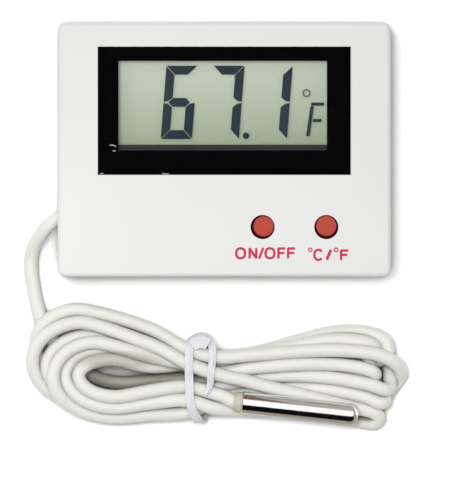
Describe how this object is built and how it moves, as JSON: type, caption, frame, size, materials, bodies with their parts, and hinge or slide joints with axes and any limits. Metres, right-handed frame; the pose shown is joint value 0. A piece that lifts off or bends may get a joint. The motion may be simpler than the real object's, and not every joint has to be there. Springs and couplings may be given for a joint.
{
  "type": "darkroom thermometer",
  "caption": "Flat panel thermometer with a display window, push buttons, and a steel probe on a long cable wound into a tied hank.",
  "frame": {"origin": "centre of the case's flat rear face, which lies on the table", "axes": "+Z leaves through the display, +Y points to the top edge of the display, +X to its right; the hank lies on the -Y side"},
  "size_m": [0.0714, 0.076, 0.0146],
  "materials": {
    "case_white": "fine satin",
    "case_rear": "fine satin",
    "lens": "gloss",
    "mask": "gloss",
    "polariser": "satin",
    "display_glass": "gloss",
    "reflector": "satin",
    "holder": "satin",
    "elastomer": "matt",
    "board": "solder mask",
    "epoxy_black": "satin",
    "tinned": "tinned",
    "capacitor": "satin",
    "red_plastic": "satin",
    "black_plastic": "satin",
    "cell_steel": "bright",
    "spring_brass": "satin",
    "wire_red": "gloss",
    "wire_white": "gloss",
    "screw_steel": "zinc",
    "cable": "soft gloss",
    "probe_steel": "polished",
    "seal": "satin",
    "bead": "gloss",
    "tie": "soft gloss"
  },
  "bodies": {
    "case": {"front_case": "case_white", "rear_case": "case_rear", "window_lens": "lens", "window_mask": "mask", "lcd_polariser": "polariser", "lcd_front_glass": "display_glass", "lcd_rear_glass": "display_glass", "lcd_reflector": "reflector", "lcd_holder": "holder", "zebra_strip": "elastomer", "circuit_board": "board", "chip_glob": "epoxy_black", "crystal": "tinned", "chip_resistors": "epoxy_black", "capacitor": "capacitor", "on_off_switch": "tinned", "unit_switch": "tinned", "button_cell": "cell_steel", "contact_positive": "spring_brass", "contact_spring": "spring_brass", "sensor_wire_a": "wire_red", "sensor_wire_b": "wire_white", "case_screws": "screw_steel", "board_screws": "screw_steel", "cable_collar": "black_plastic", "cable_lead": "cable"},
    "door": {"battery_door": "case_rear"},
    "on_off_button": {"on_off_cap": "red_plastic", "on_off_plunger": "black_plastic"},
    "unit_button": {"unit_cap": "red_plastic", "unit_plunger": "black_plastic"},
    "hank": {"cable_bundle": "cable", "twist_tie": "tie"},
    "probe": {"cable_tail": "cable", "probe_tube": "probe_steel", "probe_seal": "seal", "thermistor_bead": "bead", "thermistor_leads": "tinned"}
  },
  "joints": [
    {"name": "on_off_press", "type": "slide", "parent": "case", "child": "on_off_button", "axis": [0, 0, -1], "range_m": [0, 0.0005], "stiffness_N_per_m": 400},
    {"name": "unit_press", "type": "slide", "parent": "case", "child": "unit_button", "axis": [0, 0, -1], "range_m": [0, 0.0005], "stiffness_N_per_m": 400},
    {"name": "door_slide", "type": "slide", "parent": "case", "child": "door", "axis": [0, 1, 0], "range_m": [0, 0.016]},
    {"name": "cable_swing", "type": "hinge", "parent": "case", "child": "hank", "pos_m": [-0.03605, -0.0209, 0.00155], "axis": [0, 0, 1], "range_deg": [-28, 5]},
    {"name": "probe_lift", "type": "hinge", "parent": "hank", "child": "probe", "pos_m": [-0.00135, -0.0455, 0.00675], "axis": [-0.352, -0.936, 0], "range_deg": [0, 30]}
  ]
}
